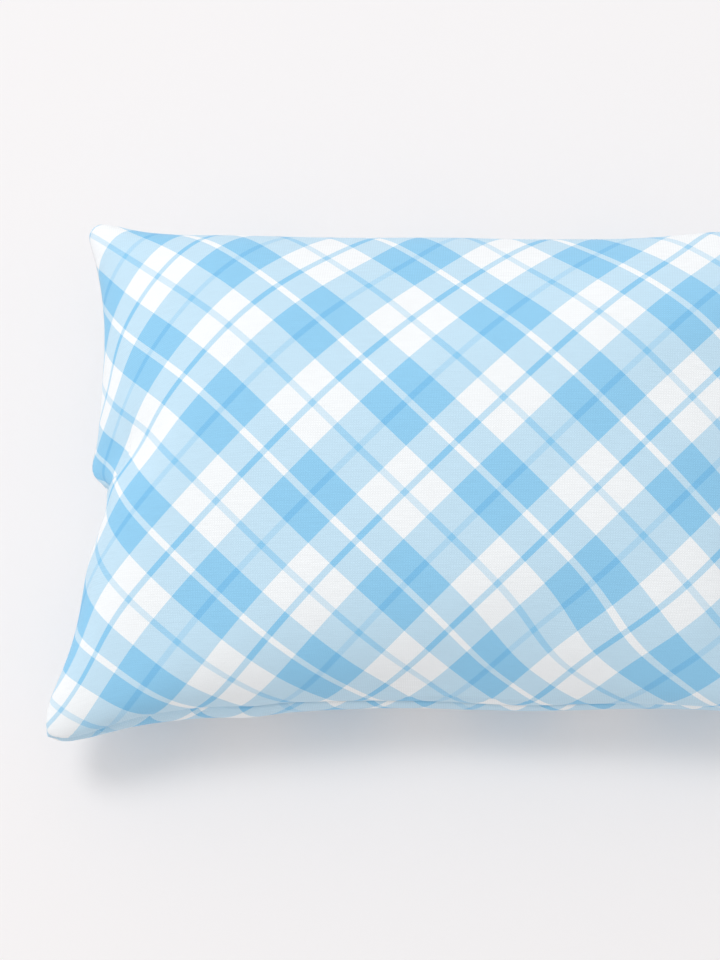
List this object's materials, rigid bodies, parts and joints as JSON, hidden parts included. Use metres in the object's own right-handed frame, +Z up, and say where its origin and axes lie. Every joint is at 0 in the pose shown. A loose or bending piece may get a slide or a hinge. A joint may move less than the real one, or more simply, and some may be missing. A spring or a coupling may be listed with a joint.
{
  "type": "lumbar cushion",
  "caption": "Filled rectangular lumbar cushion with a bias plaid cover, drawn-in sides and a coil zip in one long seam.",
  "frame": {"origin": "middle of the flat base, under the middle of the cushion", "axes": "+X along the length, +Y towards the side with the zip, +Z up"},
  "size_m": [0.488, 0.328, 0.14],
  "materials": {
    "plaid_cloth": "woven, white and two blues in a bias plaid",
    "ticking": "plain white ticking",
    "fibre": "loose fibre",
    "zip_tape": "woven tape",
    "zip_coil": "satin",
    "zip_metal": "satin nickel"
  },
  "bodies": {
    "cushion": {"cover_front": "plaid_cloth", "cover_back": "plaid_cloth", "insert_front": "ticking", "insert_back": "ticking", "fibre_fill": "fibre", "zip_tape_front": "zip_tape", "zip_tape_back": "zip_tape", "zip_coil_front": "zip_coil", "zip_coil_back": "zip_coil", "zip_top_stops": "zip_metal", "zip_bottom_stop": "zip_metal"},
    "slider": {"zip_slider": "zip_metal"},
    "pull": {"zip_pull": "zip_metal"}
  },
  "joints": [
    {"name": "zip_run", "type": "slide", "parent": "cushion", "child": "slider", "axis": [-1, 0, 0], "range_m": [0, 0.3118], "deforming": ["zip_coil_front", "zip_coil_back"]},
    {"name": "pull_swing", "type": "hinge", "parent": "slider", "child": "pull", "pos_m": [0.15725, 0.1484, 0.058], "axis": [0, 0, 1], "range_deg": [0, 170]}
  ]
}
